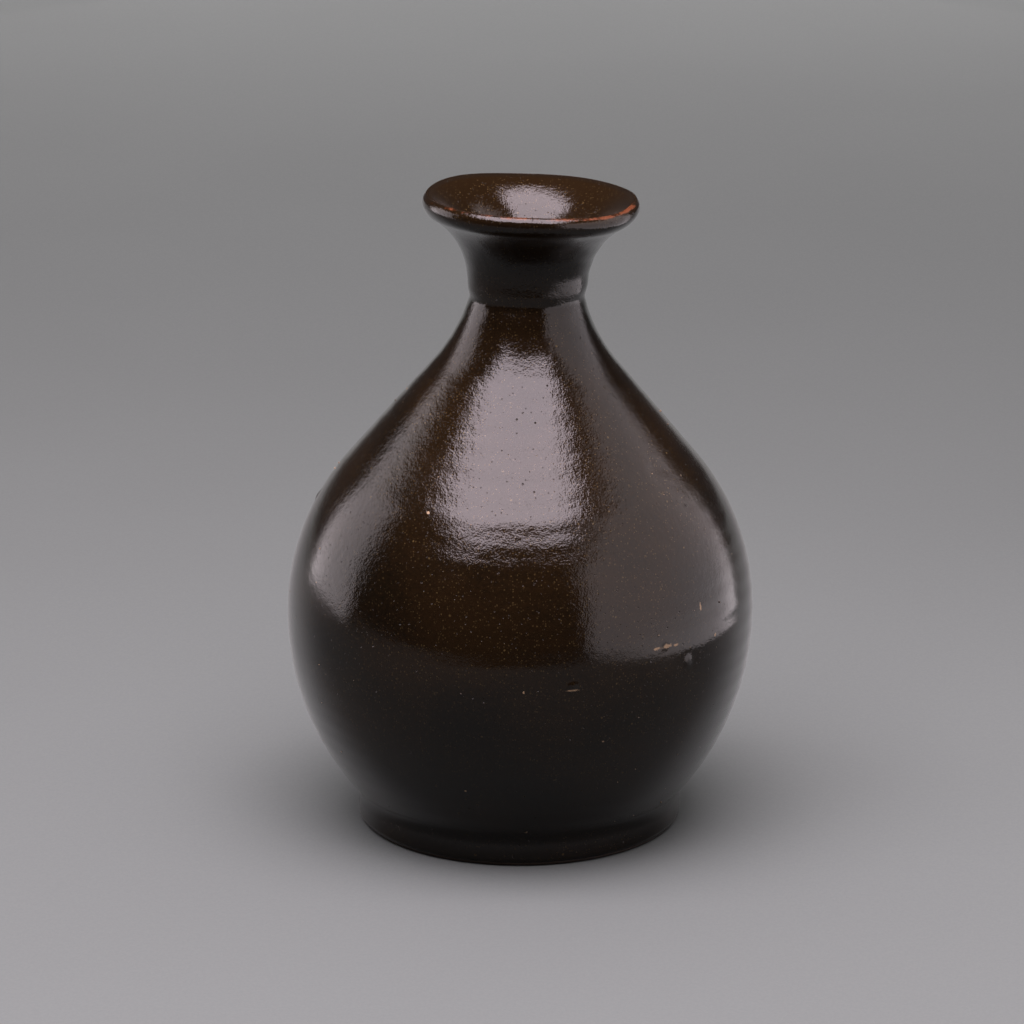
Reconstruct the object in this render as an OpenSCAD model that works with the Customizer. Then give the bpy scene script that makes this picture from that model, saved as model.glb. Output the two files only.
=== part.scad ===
// Sake bottle: wheel-thrown stoneware, glazed dark iron brown inside and out.
// Four clay pieces are luted together at stepped joints, then two glaze coats cover them.
// Z is up and the origin is the middle of the standing face. Sizes are in millimetres.
// Every outline is a list of [radius, height] points, turned about Z.

/* [Body] */
// Height from the standing face to the rim
height = 230; // [195:1:290]
// Widest diameter of the belly, over the glaze
belly_d = 167.4; // [145:0.2:205]
// Height of the widest point
belly_z = 78; // [65:0.5:95]
// Diameter of the waist, where the bowl meets the foot
waist_d = 114.8; // [90:0.2:130]
// Thickness of the clay wall of the bowl and the shoulder
wall = 6; // [4.5:0.1:8]
// Thickness of the floor above the foot ring
floor_t = 7; // [5:0.1:11]
// Inside radius between the floor and the wall
corner_r = 14; // [6:0.5:24]
// How much steeper the flank leans in than the chord from belly to collar, in degrees
flank_lean = 11; // [8:0.5:14]
// Lean of the shoulder where it reaches the collar, in degrees
collar_lean = 20; // [14:0.5:24]
// Radius of the hollow curve from the flank to the collar
collar_blend_r = 68; // [40:1:90]

/* [Foot] */
// Outside diameter of the foot ring, over the glaze
foot_d = 116.6; // [115.6:0.2:140]
// Height of the foot, up to the crease of the waist
foot_h = 10.5; // [8:0.1:14]
// Width of the foot ring at its seat
foot_w = 10; // [7:0.1:14]
// Bevel on both edges of the standing face
foot_bevel = 1; // [0.5:0.1:1.4]
// Height of the top stretch of the foot, which draws in to the waist
foot_draw = 4.5; // [2:0.1:6]
// How far the boss under the floor drops into the foot ring
boss_drop = 2; // [1:0.1:4]

/* [Neck] */
// Height from the neck seam to the rim
neck_h = 36; // [30:0.5:44]
// Bore of the throat, inside the glaze
throat_d = 31; // [25:0.2:38]
// Thickness of the clay wall of the neck
neck_wall = 4.7; // [4:0.1:5.8]
// Height from the seam to where the neck starts to flare
neck_straight = 4; // [3.4:0.1:7]
// How far the collar of the shoulder stands out from the neck
ledge_w = 0.4; // [0.2:0.1:1.5]
// Height of the bevel between the collar and the seam
ledge_h = 4.9; // [2:0.1:7]
// Depth of the groove along the seam
groove_t = 1.1; // [0.5:0.1:1.5]
// Height of the groove above the seam
groove_h = 3.3; // [2:0.1:3.4]

/* [Rim] */
// Widest diameter of the lip
rim_d = 76.6; // [66:0.2:92]
// Height of the lip, from the end of the flare to the rim
lip_h = 7.4; // [6:0.1:10]
// How far the round of the lip stands out from the end of the flare
lip_hang = 3.1; // [1.5:0.1:4]
// How far the lip draws in from its widest point to its top edge
lip_taper = 1.2; // [0.5:0.1:2]
// Width of the bare clay edge on top of the lip
land_w = 0.5; // [0.4:0.1:1.5]

/* [Joints] */
// Height of the step in the belly joint
belly_step = 3; // [2:0.1:5]
// Height of the tongue in the neck joint
neck_step = 2; // [1:0.1:3]
// Gap left for slip between the upright faces of a joint
lute_gap = 0.15; // [0.05:0.05:0.3]

/* [Glaze] */
// Thickness of the glaze coats
glaze_t = 0.45; // [0.3:0.05:0.7]
// Height of the bare band above the standing face
bare_h = 1.5; // [1.3:0.1:3]

/* [Hidden] */
$fn = 120;
// Largest turn between two neighbouring points of an arc
arc_turn = 3;

clay = "#7a4a2c";
glaze = "#2b1e15";

// Radii. The recess under the foot stays inside the waist.
belly_r = belly_d / 2;
foot_r = foot_d / 2;
foot_clay_r = foot_r - glaze_t;
foot_in_r = min(foot_r - foot_w, waist_d / 2 - glaze_t - 3);
throat_r = throat_d / 2;
throat_clay_r = throat_r + glaze_t;
neck_r = throat_clay_r + neck_wall + glaze_t;
groove_r = neck_r - groove_t;
collar_r = neck_r + ledge_w;
rim_r = rim_d / 2;
arris_r = rim_r - lip_taper;
land_r = arris_r - glaze_t - land_w;

// Heights
seat_z = foot_h - glaze_t;
floor_z = seat_z + floor_t;
seam_z = height - neck_h;
collar_z = seam_z - ledge_h;
flare_z = seam_z + neck_straight;
lip_z = height - lip_h;

// Distance from the glazed outside to the bare inside of the body
skin = glaze_t + wall;

// Radius of the arc that starts upright and then moves dr out over dz up
function upright_arc_r(dr, dz) = (dr * dr + dz * dz) / (2 * dr);

// Bowl: one arc from the waist, upright at the belly
bowl_r = upright_arc_r(belly_r - waist_d / 2, belly_z - foot_h);
bowl_c = [belly_r - bowl_r, belly_z];

// Flank: a straight cone between the round shoulder and the hollow curve of the collar
chord_a = atan2(belly_r - collar_r, collar_z - belly_z);
flank_a = chord_a + flank_lean;
flank_gap = (collar_r - belly_r) * cos(flank_a) + (collar_z - belly_z) * sin(flank_a);
shoulder_r = (flank_gap - collar_blend_r * (1 - cos(flank_a - collar_lean))) / (1 - cos(flank_a));
shoulder_c = [belly_r - shoulder_r, belly_z];
blend_c = [collar_r, collar_z] + collar_blend_r * [cos(collar_lean), sin(collar_lean)];

// Flare of the neck outside, and dish of the mouth inside
flare_r = upright_arc_r(rim_r - lip_hang - neck_r, lip_z - flare_z);
flare_c = [neck_r + flare_r, flare_z];
flare_a = atan2(lip_z - flare_z, flare_r - (rim_r - lip_hang - neck_r));

// Lip: a round that carries on from the flare and ends upright, under the rim
lip_r = min(lip_hang / (1 - cos(flare_a)), (lip_h - 0.8) / sin(flare_a));
lip_c = [rim_r - lip_r, lip_z + lip_r * sin(flare_a)];

dish_r = upright_arc_r(land_r - throat_r, height - flare_z);
dish_c = [throat_r + dish_r, flare_z];

// Inside corner: an arc that touches the floor and the inside of the bowl
corner_z = floor_z + corner_r;
corner_x = bowl_c[0] + sqrt(pow(bowl_r - skin - corner_r, 2) - pow(belly_z - corner_z, 2));
corner_a = atan2(corner_z - belly_z, corner_x - bowl_c[0]);

// Joints: the middle of each wall, where its step stands
belly_mid_r = belly_r - glaze_t - wall / 2;
neck_mid_r = (groove_r - glaze_t + throat_clay_r) / 2;
step_a = asin(belly_step / (shoulder_r - skin));

function arc(c, r, a0, a1) =
    let (n = max(2, ceil(abs(a1 - a0) / arc_turn)))
    [for (i = [0 : n]) let (a = a0 + (a1 - a0) * i / n) c + r * [cos(a), sin(a)]];
function flip(path) = [for (i = [len(path) - 1 : -1 : 0]) path[i]];
function tail(path) = [for (i = [1 : len(path) - 1]) path[i]];

// Outside outlines, from the bottom up, at a depth d under the glazed surface
function waist_z(d) = foot_h - d;
function waist_r(d) = bowl_c[0] + sqrt(pow(bowl_r - d, 2) - pow(belly_z - waist_z(d), 2));
function foot_side(d) = [[foot_r - d, bare_h], [foot_r - d, waist_z(d) - foot_draw]];
function bowl_side(d) = arc(bowl_c, bowl_r - d, asin((waist_z(d) - belly_z) / (bowl_r - d)), 0);
function shoulder_side(d) = concat(
    arc(shoulder_c, shoulder_r - d, 0, flank_a),
    arc(blend_c, collar_blend_r + d, 180 + flank_a, 180 + collar_lean));
function seam_point(d) = [groove_r - d, seam_z];
function neck_side(d) = concat(
    [[neck_r - d, seam_z + groove_h]],
    arc(flare_c, flare_r + d, 180, 180 - flare_a));
function lip_side(d) = concat(tail(arc(lip_c, lip_r - d, -flare_a, 0)), [[arris_r - d, height]]);
function outside(d) = concat(
    foot_side(d), bowl_side(d), tail(shoulder_side(d)), [seam_point(d)], neck_side(d), lip_side(d));

// Inside outlines, from the floor up, at a height g over the bare clay
function bowl_inside(g) = concat(
    [[0, floor_z + g]],
    arc([corner_x, corner_z], corner_r - g, -90, corner_a),
    tail(arc(bowl_c, bowl_r - skin - g, corner_a, 0)),
    tail(arc(shoulder_c, shoulder_r - skin - g, 0, step_a)));
function throat_a(g) = acos((blend_c[0] - throat_clay_r + g) / (collar_blend_r + skin + g));
function shoulder_inside(g) = concat(
    arc(shoulder_c, shoulder_r - skin - g, step_a, flank_a),
    arc(blend_c, collar_blend_r + skin + g, 180 + flank_a, 180 + throat_a(g)));
function dish_a(g) = acos((dish_c[0] - land_r) / (dish_r - glaze_t + g));
function mouth_inside(g) = arc(dish_c, dish_r - glaze_t + g, 180, 180 - dish_a(g));
function inside(g) = concat(bowl_inside(g), tail(shoulder_inside(g)), mouth_inside(g));

module turned(path) {
    rotate_extrude() polygon(path);
}

// The ring the bottle stands on. Its standing face and bevels stay bare.
module foot_ring() {
    color(clay) turned(concat(
        [[foot_in_r + foot_bevel, 0], [foot_clay_r - foot_bevel, 0], [foot_clay_r, foot_bevel]],
        foot_side(glaze_t),
        [[waist_r(glaze_t), seat_z], [foot_in_r, seat_z], [foot_in_r, foot_bevel]]));
}

// Floor and bowl. A boss under the floor sits inside the foot ring, and the inner half of the
// wall stands up as a step for the shoulder.
module lower_body() {
    color(clay) turned(concat(
        [[0, seat_z - boss_drop], [foot_in_r - lute_gap, seat_z - boss_drop],
         [foot_in_r - lute_gap, seat_z]],
        bowl_side(glaze_t),
        [[belly_mid_r - lute_gap, belly_z], [belly_mid_r - lute_gap, belly_z + belly_step]],
        flip(bowl_inside(0))));
}

// Shoulder, from the belly joint to the collar. Its outer half laps the step of the bowl, and a
// tongue on the collar centres the neck.
module upper_body() {
    color(clay) turned(concat(
        shoulder_side(glaze_t),
        [seam_point(glaze_t), [neck_mid_r, seam_z], [neck_mid_r, seam_z + neck_step],
         [throat_clay_r, seam_z + neck_step]],
        flip(shoulder_inside(0)),
        [[belly_mid_r, belly_z + belly_step], [belly_mid_r, belly_z]]));
}

// Neck, flared mouth and lip, thrown as one piece and set over the tongue.
module neck_and_mouth() {
    color(clay) turned(concat(
        [seam_point(glaze_t)],
        neck_side(glaze_t),
        lip_side(glaze_t),
        [[land_r, height]],
        flip(mouth_inside(0)),
        [[throat_clay_r, seam_z + neck_step], [neck_mid_r + lute_gap, seam_z + neck_step],
         [neck_mid_r + lute_gap, seam_z]]));
}

// Outside coat, from the bare band of the foot up to the bare edge of the lip.
module outer_glaze() {
    color(glaze) turned(concat(outside(0), flip(outside(glaze_t))));
}

// Inside coat, from the bare edge of the lip down over the floor.
module inner_glaze() {
    color(glaze) turned(concat(inside(glaze_t), flip(inside(0))));
}

foot_ring();
lower_body();
upper_body();
neck_and_mouth();
outer_glaze();
inner_glaze();
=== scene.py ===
"""Wheel-thrown stoneware sake bottle: clay body, two glaze coats, kiln grit and a small studio."""
import math

import bmesh
import bpy
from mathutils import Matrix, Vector


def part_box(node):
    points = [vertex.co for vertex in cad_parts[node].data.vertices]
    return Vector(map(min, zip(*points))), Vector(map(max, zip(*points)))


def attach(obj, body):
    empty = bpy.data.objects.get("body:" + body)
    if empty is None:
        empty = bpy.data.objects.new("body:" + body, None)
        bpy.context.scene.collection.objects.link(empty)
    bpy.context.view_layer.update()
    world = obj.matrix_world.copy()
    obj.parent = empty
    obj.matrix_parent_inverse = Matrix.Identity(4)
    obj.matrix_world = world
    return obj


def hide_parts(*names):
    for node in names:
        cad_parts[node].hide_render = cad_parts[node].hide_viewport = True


bl_info = {
    "name": "Sake Bottle",
    "version": (1, 0, 0),
    "blender": (4, 5, 0),
    "location": "3D View > Sidebar > Bottle",
    "description": "Builds a thrown and glazed sake bottle, with its studio",
    "category": "Add Mesh",
}

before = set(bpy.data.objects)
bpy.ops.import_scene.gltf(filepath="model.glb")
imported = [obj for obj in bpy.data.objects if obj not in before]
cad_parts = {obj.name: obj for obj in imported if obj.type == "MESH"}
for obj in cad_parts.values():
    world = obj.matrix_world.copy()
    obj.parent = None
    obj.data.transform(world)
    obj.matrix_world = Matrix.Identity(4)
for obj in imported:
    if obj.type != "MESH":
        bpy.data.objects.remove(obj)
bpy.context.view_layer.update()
MM = 0.001
BODY = "root"

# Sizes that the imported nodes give
_, FOOT_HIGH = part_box("foot_ring")
BOWL_LOW, BOWL_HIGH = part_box("lower_body")
SHOULDER_LOW, SHOULDER_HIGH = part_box("upper_body")
NECK_LOW, NECK_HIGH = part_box("neck_and_mouth")
OUTER_LOW, OUTER_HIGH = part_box("outer_glaze")
INNER_LOW, INNER_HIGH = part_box("inner_glaze")
GLAZE = OUTER_HIGH.x - BOWL_HIGH.x

# Points closer than this are welded, and stretches shorter than this have no direction
WELD = 1e-6
SHORTEST = 1e-7
# How steeply the lean grows towards the rim
LEAN_POWER = 2.6
# Steps round each turned piece
CLAY_STEPS, OUTSIDE_STEPS, INSIDE_STEPS = 240, 384, 288
# Seeds of the ragged edges of hollows, and of chips and painted glints. Each mark adds one.
PIT_SEED, CHIP_AND_GLINT_SEED = 11.0, 3.0
# Narrowness of the slip roll and of the finger dip: larger is narrower
ROLL_NARROWNESS, DIP_NARROWNESS = 1.3e5, 6.0e4
# Turning marks in bare clay, in radians a metre
TOOL_MARKS = 2600.0
# Heights between which the bare rim takes on its skin
RIM_SKIN = (0.2285, 0.2295)


def length(name, description, default):
    """A size that a user can change, in metres."""
    return bpy.props.FloatProperty(
        name=name, description=description, default=default, unit="LENGTH", precision=5)


def number(name, description, default):
    """A plain number that a user can change."""
    return bpy.props.FloatProperty(name=name, description=description, default=default, precision=4)


def colour(name, description, default):
    """A linear colour that a user can change."""
    return bpy.props.FloatVectorProperty(
        name=name, description=description, default=default, subtype="COLOR", size=3, min=0, max=1)


class BottleSizes(bpy.types.PropertyGroup):
    """The turned outline of the bottle."""

    height: length("Height", "Standing face to rim", NECK_HIGH.z)
    glaze: length("Glaze", "Thickness of a glaze coat", GLAZE)
    wall: length("Wall", "Clay wall of the body", BOWL_HIGH.x - INNER_HIGH.x)
    belly_radius: length("Belly radius", "Widest radius, over the glaze", OUTER_HIGH.x)
    belly_height: length("Belly height", "Height of the widest point", SHOULDER_LOW.z)
    waist_radius: length("Waist radius", "Crease between foot and bowl", 57.4 * MM)
    foot_height: length("Foot height", "Standing face to the crease", FOOT_HIGH.z + GLAZE)
    foot_radius: length("Foot radius", "Outside of the foot, over the glaze", FOOT_HIGH.x + GLAZE)
    foot_width: length("Foot width", "Width of the foot ring", 10 * MM)
    foot_bevel: length("Foot bevel", "Bevel of the standing face", 1.0 * MM)
    foot_draw: length("Foot draw", "Height of the top stretch that draws in to the waist", 4.5 * MM)
    bare_height: length("Bare band", "Height of the bare band over the standing face", OUTER_LOW.z)
    boss_height: length("Boss height", "Underside of the floor", BOWL_LOW.z)
    floor_height: length("Floor height", "Top of the clay floor", INNER_LOW.z)
    corner_radius: length("Corner", "Inside radius between floor and wall", 14 * MM)
    flank_lean: number("Flank lean", "Degrees steeper than the chord to the collar", 11.0)
    collar_lean: number("Collar lean", "Degrees of lean at the collar", 20.0)
    blend_radius: length("Collar blend", "Hollow curve from flank to collar", 68 * MM)
    belly_step: length("Belly step", "Height of the step in the belly joint",
                       BOWL_HIGH.z - SHOULDER_LOW.z)
    neck_step: length("Neck step", "Height of the tongue in the neck joint",
                      SHOULDER_HIGH.z - NECK_LOW.z)
    seam_height: length("Seam height", "Height of the neck seam", NECK_LOW.z)
    throat_radius: length("Throat radius", "Bore of the throat, inside the glaze", 15.5 * MM)
    neck_wall: length("Neck wall", "Clay wall of the neck", 4.7 * MM)
    neck_straight: length("Straight neck", "Height from the seam to where the flare starts", 4 * MM)
    ledge_width: length("Ledge width", "How far the collar stands out", 0.4 * MM)
    ledge_height: length("Ledge height", "Bevel between collar and seam", 4.9 * MM)
    groove_depth: length("Groove", "Depth of the seam's crease", 1.1 * MM)
    groove_height: length("Groove height", "Height of the groove over the seam", 3.3 * MM)
    lip_radius: length("Lip radius", "Widest radius of the lip", NECK_HIGH.x + GLAZE)
    lip_height: length("Lip height", "From the end of the flare to the rim", 7.4 * MM)
    lip_hang: length("Lip overhang", "How far the lip stands out from the flare", 3.1 * MM)
    lip_taper: length("Lip taper", "How far the lip draws in to its top edge", 1.2 * MM)
    land_width: length("Bare edge", "Width of the bare clay on top of the lip", 0.5 * MM)


class PotterHand(bpy.types.PropertyGroup):
    """What the wheel, the hand and the kiln did to the turned outline."""

    lean: length("Lean", "How far the rim stands off the axis", 4.1 * MM)
    rim_drop: bpy.props.FloatProperty(
        name="Rim drop", description="Slope of the rim, right side down", default=math.radians(1.9),
        subtype="ANGLE")
    rim_wave: length("Rim wave", "Height of the waves round the rim", 0.35 * MM)
    oval: length("Oval", "How far the form is out of round", 0.25 * MM)
    lump_depth: length("Lumps", "Depth of the soft unevenness", 0.9 * MM)
    ring_depth: length("Throwing rings", "Depth of the finger marks", 0.07 * MM)
    ring_pitch: length("Ring pitch", "Rise of the finger marks in one turn", 7 * MM)
    rim_crown: length("Rim crown", "How far the edges of the rim are rounded off", 0.3 * MM)
    collar_roll: length("Collar roll", "Roll of slip under the neck seam", 0.55 * MM)


class GlazeLook(bpy.types.PropertyGroup):
    """Colours and finish of glaze and clay."""

    deep: colour("Deep glaze", "Where the coat is thick", (0.0044, 0.0029, 0.0015))
    brown: colour("Brown glaze", "Where the coat is thin", (0.0125, 0.0067, 0.0026))
    speck: colour("Specks", "Fine iron crystals", (0.110, 0.078, 0.033))
    rust: colour("Rust edge", "Glaze broken over an edge", (0.105, 0.033, 0.012))
    clay: colour("Clay", "Bare fired stoneware", (0.110, 0.052, 0.027))
    # Dark clay is also painted on the standing edge, as shade where the foot meets the floor
    clay_dark: colour("Dark clay", "Bare clay where it is flashed", (0.033, 0.018, 0.011))
    grit: colour("Grit", "Kiln grit stuck in the glaze", (0.24, 0.165, 0.10))
    floor: colour("Floor", "Paper under the bottle", (0.0935, 0.1045, 0.0995))


def in_metres(marks):
    """Turns the millimetres that follow each mark's angle into metres."""
    return tuple((angle, *(size * MM for size in sizes)) for angle, *sizes in marks)


# The larger hollows in the glaze: degrees round from the front, then height, half width, half
# height and depth in millimetres
PITS = in_metres((
    (55.6, 141.3, 4.8, 2.8, 1.00),
    (51.0, 138.8, 2.4, 1.7, 0.50),
    (57.2, 127.0, 1.2, 1.6, 0.45),
    (44.5, 76.8, 2.6, 1.8, 0.55),
    (37.1, 85.6, 2.6, 1.3, 0.20),
    (12.4, 74.9, 3.6, 1.3, 0.60),
    (-148.0, 96.0, 3.4, 2.0, 0.50),
    (128.0, 61.0, 2.6, 1.8, 0.40),
    (-96.0, 118.0, 1.8, 2.6, 0.45),
))
# The small pale marks where the glaze is chipped or crawled off the clay, and two painted
# highlights: degrees round, then height, half width and half height in millimetres
CHIPS_AND_GLINTS = in_metres((
    (49.9, 94.7, 0.55, 1.9),
    (37.6, 85.0, 2.3, 0.80),
    (34.4, 84.8, 1.5, 0.60),
    (40.4, 84.6, 1.2, 0.60),
    # Painted highlight: the lit lower edge of the pit at 12.4 degrees
    (12.6, 73.9, 2.7, 0.45),
    # Painted highlight: a white glint
    (54.8, 83.2, 0.60, 0.70),
    (53.8, 142.6, 2.2, 0.60),
    (-29.9, 130.5, 0.60, 0.60),
    (0.8, 73.8, 0.50, 0.55),
    (-15.0, 33.0, 0.45, 0.45),
    (21.0, 53.0, 0.50, 0.50),
    (-165.0, 70.0, 1.6, 0.7),
    (-101.0, 88.0, 0.7, 1.5),
    (112.0, 105.0, 0.9, 0.8),
))


class Nodes:
    """Adds nodes to one tree and joins them."""

    def __init__(self, tree):
        self.tree = tree

    def feed(self, socket, value):
        if isinstance(value, bpy.types.NodeSocket):
            self.tree.links.new(value, socket)
        else:
            socket.default_value = value

    def add(self, kind, inputs=None, **settings):
        node = self.tree.nodes.new(kind)
        for name, value in settings.items():
            setattr(node, name, value)
        for socket, value in (inputs or {}).items():
            self.feed(node.inputs[socket], value)
        return node

    def math(self, operation, *values):
        return self.add("ShaderNodeMath", dict(enumerate(values)), operation=operation).outputs[0]

    def vector(self, operation, *values):
        return self.add(
            "ShaderNodeVectorMath", dict(enumerate(values)), operation=operation).outputs[0]

    def measure(self, operation, *values):
        """A vector operation that gives one number."""
        return self.add("ShaderNodeVectorMath", dict(enumerate(values)),
                        operation=operation).outputs["Value"]

    def scaled(self, vector, factor):
        return self.add("ShaderNodeVectorMath", {0: vector, "Scale": factor},
                        operation="SCALE").outputs[0]

    def split(self, vector):
        return self.add("ShaderNodeSeparateXYZ", {0: vector}).outputs

    def join(self, x=0.0, y=0.0, z=0.0):
        return self.add("ShaderNodeCombineXYZ", {0: x, 1: y, 2: z}).outputs[0]

    def product(self, *values):
        result = values[0]
        for value in values[1:]:
            result = self.math("MULTIPLY", result, value)
        return result

    def bell(self, away, narrowness):
        """One where away is nothing, fading to nothing on both sides."""
        return self.math("EXPONENT", self.product(away, away, -narrowness))

    def total(self, values):
        result = values[0]
        for value in values[1:]:
            result = self.math("ADD", result, value)
        return result

    def ramp(self, value, low, high, to_low=0.0, to_high=1.0, smooth=True):
        """Maps low to high onto to_low to to_high, and holds the ends."""
        return self.add(
            "ShaderNodeMapRange",
            {"Value": value, "From Min": low, "From Max": high, "To Min": to_low,
             "To Max": to_high},
            interpolation_type="SMOOTHSTEP" if smooth else "LINEAR").outputs["Result"]

    def noise(self, vector, size, seed, detail=2.0, roughness=0.5):
        """Noise whose features are about size metres across."""
        return self.add(
            "ShaderNodeTexNoise",
            {"Vector": vector, "W": seed, "Scale": 1 / size, "Detail": detail,
             "Roughness": roughness},
            noise_dimensions="4D").outputs[0]

    def cells(self, vector, size, seed):
        """Distance to the middle of random cells about size metres apart, and each one's colour."""
        node = self.add(
            "ShaderNodeTexVoronoi", {"Vector": vector, "W": seed, "Scale": 1 / size},
            voronoi_dimensions="4D")
        return node.outputs["Distance"], node.outputs["Color"]

    def mix(self, factor, a, b):
        """Blends two colours."""
        node = self.add("ShaderNodeMix", {0: factor, 6: a, 7: b}, data_type="RGBA")
        return node.outputs[2]


def rgba(value):
    return (*value, 1.0)


# Outline: points are (radius, height) in metres, from the bottom up

def arc(centre, radius, start, end, spacing):
    """Points along an arc, ends included. Angles are in degrees from the outward direction."""
    turn = math.radians(end - start)
    count = max(2, math.ceil(abs(turn) * radius / spacing))
    angles = [math.radians(start) + turn * i / count for i in range(count + 1)]
    return [(centre[0] + radius * math.cos(a), centre[1] + radius * math.sin(a)) for a in angles]


def fillet(points, reach, closed=False, least_turn=20):
    """Rounds each corner of at least least_turn degrees by a curve that starts reach away."""
    count = len(points)
    result = []
    for i, here in enumerate(points):
        if not closed and i in (0, count - 1):
            result.append(here)
            continue
        before = Vector(points[i - 1])
        after = Vector(points[(i + 1) % count])
        corner = Vector(here)
        a, b = before - corner, after - corner
        if min(a.length, b.length) < SHORTEST or a.angle(b) > math.radians(180 - least_turn):
            result.append(here)
            continue
        start = corner + a.normalized() * min(reach, 0.45 * a.length)
        end = corner + b.normalized() * min(reach, 0.45 * b.length)
        for t in (0, 0.25, 0.5, 0.75, 1):
            point = start * (1 - t) ** 2 + corner * 2 * t * (1 - t) + end * t ** 2
            result.append(tuple(point))
    return result


def soften(points, corner, reach):
    """Replaces the outline within reach of a corner by one smooth curve."""
    middle = min(range(len(points)), key=lambda i: math.dist(points[i], corner))
    low = max(i for i in range(middle + 1) if i == 0 or math.dist(points[i], corner) >= reach)
    high = min(i for i in range(middle, len(points))
               if i == len(points) - 1 or math.dist(points[i], corner) >= reach)
    start, end, knee = Vector(points[low]), Vector(points[high]), Vector(corner)
    curve = []
    for i in range(9):
        t = i / 8
        curve.append(tuple(start * (1 - t) ** 2 + knee * 2 * t * (1 - t) + end * t ** 2))
    return points[:low] + curve + points[high + 1:]


def spaced(points, spacing):
    """Adds points so that none are further apart than spacing."""
    result = [points[0]]
    for a, b in zip(points, points[1:]):
        count = max(1, math.ceil(math.dist(a, b) / spacing))
        for i in range(1, count + 1):
            t = i / count
            result.append((a[0] + (b[0] - a[0]) * t, a[1] + (b[1] - a[1]) * t))
    return result


def thinned(points, spacing):
    """Drops points on nearly straight stretches that are closer together than spacing."""
    result = points[:1]
    for before, here, after in zip(points, points[1:], points[2:]):
        a = Vector(here) - Vector(before)
        b = Vector(after) - Vector(here)
        bends = min(a.length, b.length) > SHORTEST and a.angle(b) > math.radians(2.5)
        if bends or math.dist(result[-1], here) >= spacing:
            result.append(here)
    return result + points[-1:]


def upright_arc_radius(out, up):
    """Radius of the arc that starts upright and then moves out over a rise of up."""
    return (out * out + up * up) / (2 * out)


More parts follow.
